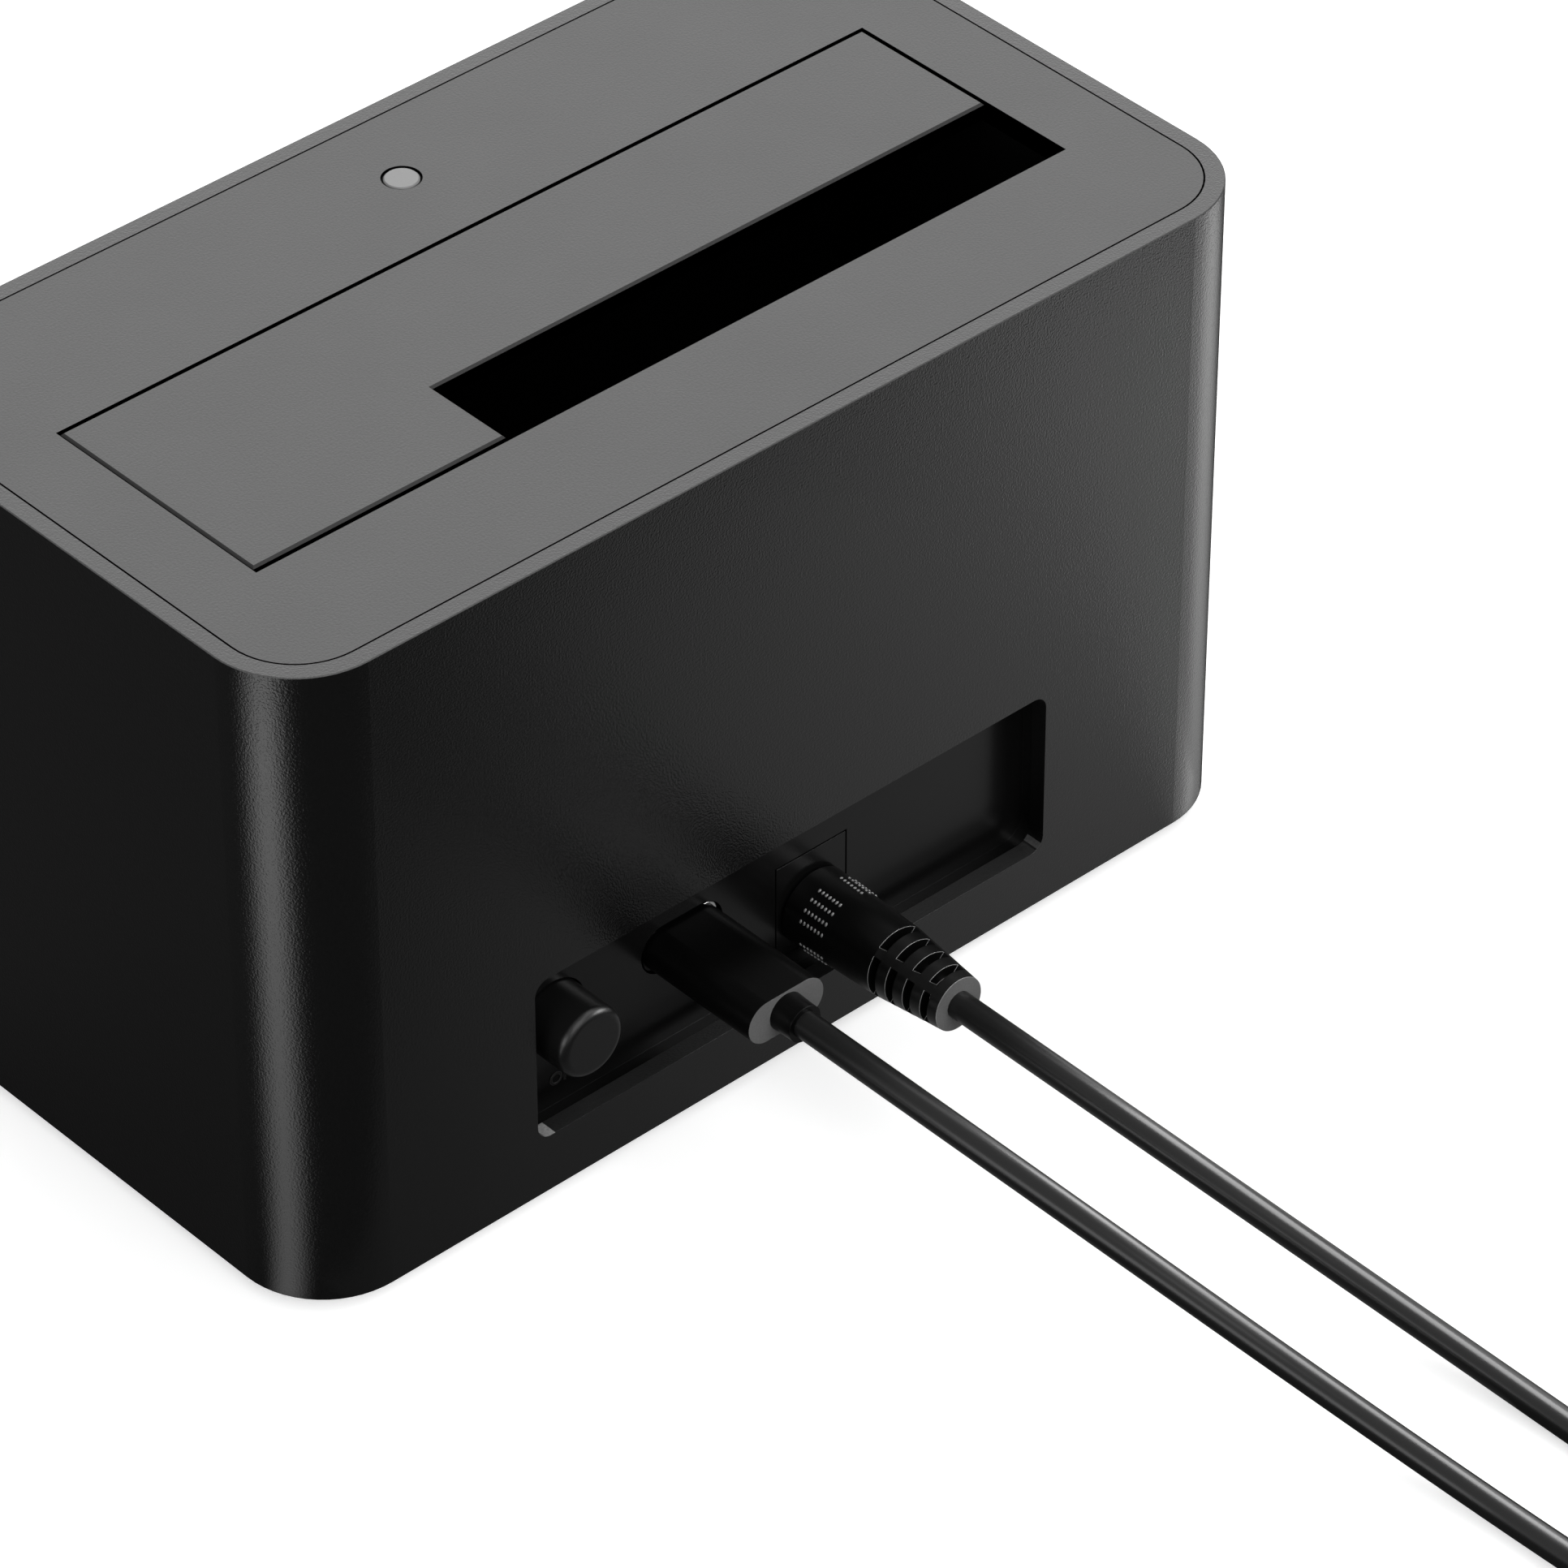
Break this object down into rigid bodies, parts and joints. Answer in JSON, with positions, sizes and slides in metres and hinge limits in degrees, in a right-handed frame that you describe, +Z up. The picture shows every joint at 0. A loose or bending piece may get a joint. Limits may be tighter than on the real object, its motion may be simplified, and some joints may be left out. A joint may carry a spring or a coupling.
{
  "type": "hard drive docking station",
  "caption": "Upright dark plastic docking station with a sprung L-shaped flap over the drive slot, a round status light, a sunk port panel with power button, and data and power leads.",
  "frame": {"origin": "middle of the body's footprint and of the four feet, at the height of the surface they stand on", "axes": "+X along the drive slot, +Y out of the side with the ports, +Z up"},
  "size_m": [0.1305, 0.2733, 0.0775],
  "materials": {
    "shell_plastic": "fine moulded grain",
    "lid_plastic": "fine moulded grain",
    "bezel_plastic": "polished",
    "light_plastic": "milky, unlit",
    "lamp_plastic": "clear",
    "inner_plastic": "as moulded",
    "pin_steel": "ground",
    "spring_steel": "drawn wire",
    "screw_steel": "zinc plated",
    "shell_steel": "nickel plated",
    "board_laminate": "solder mask",
    "chip_plastic": "moulded",
    "coil_ferrite": "sintered",
    "can_aluminium": "drawn",
    "connector_plastic": "moulded",
    "contact_gold": "gold flashed",
    "button_plastic": "satin",
    "switch_plastic": "as moulded",
    "plug_rubber": "soft overmould",
    "cord_rubber": "smooth jacket",
    "foot_rubber": "matt",
    "adapter_plastic": "fine moulded grain",
    "blade_metal": "nickel plated"
  },
  "bodies": {
    "station": {"housing": "shell_plastic", "top_panel": "lid_plastic", "flap_hinge_pin": "pin_steel", "flap_spring": "spring_steel", "light_bezel": "bezel_plastic", "light_pipe": "light_plastic", "status_lamp": "lamp_plastic", "bay_frame": "inner_plastic", "main_board": "board_laminate", "bridge_chip": "chip_plastic", "power_coils": "coil_ferrite", "capacitors": "can_aluminium", "drive_socket": "connector_plastic", "drive_contacts": "contact_gold", "port_panel": "shell_plastic", "power_switch": "connector_plastic", "usb_socket_shell": "shell_steel", "usb_socket_tongue": "connector_plastic", "usb_plug_tip": "shell_steel", "usb_plug": "plug_rubber", "usb_cord": "cord_rubber", "usb_coil": "cord_rubber", "usb_far_plug": "plug_rubber", "usb_far_tip": "shell_steel", "dc_jack": "connector_plastic", "dc_jack_pin": "pin_steel", "dc_plug_barrel": "shell_steel", "dc_plug": "plug_rubber", "dc_cord": "cord_rubber", "dc_coil": "cord_rubber", "adapter_body": "adapter_plastic", "adapter_blades": "blade_metal", "base_plate": "shell_plastic", "rubber_feet": "foot_rubber", "base_screws": "screw_steel", "board_screws": "screw_steel", "panel_screws": "screw_steel", "port_screws": "screw_steel"},
    "flap": {"flap": "lid_plastic"},
    "button": {"power_button": "button_plastic", "power_plunger": "switch_plastic"}
  },
  "joints": [
    {"name": "flap_hinge", "type": "hinge", "parent": "station", "child": "flap", "pos_m": [0, -0.0137, 0.0733], "axis": [-1, 0, 0], "range_deg": [0, 90], "stiffness_Nm_per_rad": 0.0015, "springref_deg": -85.94, "deforming": ["flap_spring"]},
    {"name": "button_press", "type": "slide", "parent": "station", "child": "button", "axis": [0, -1, 0], "range_m": [0, 0.0018], "stiffness_N_per_m": 400, "springref_m": -0.001}
  ]
}
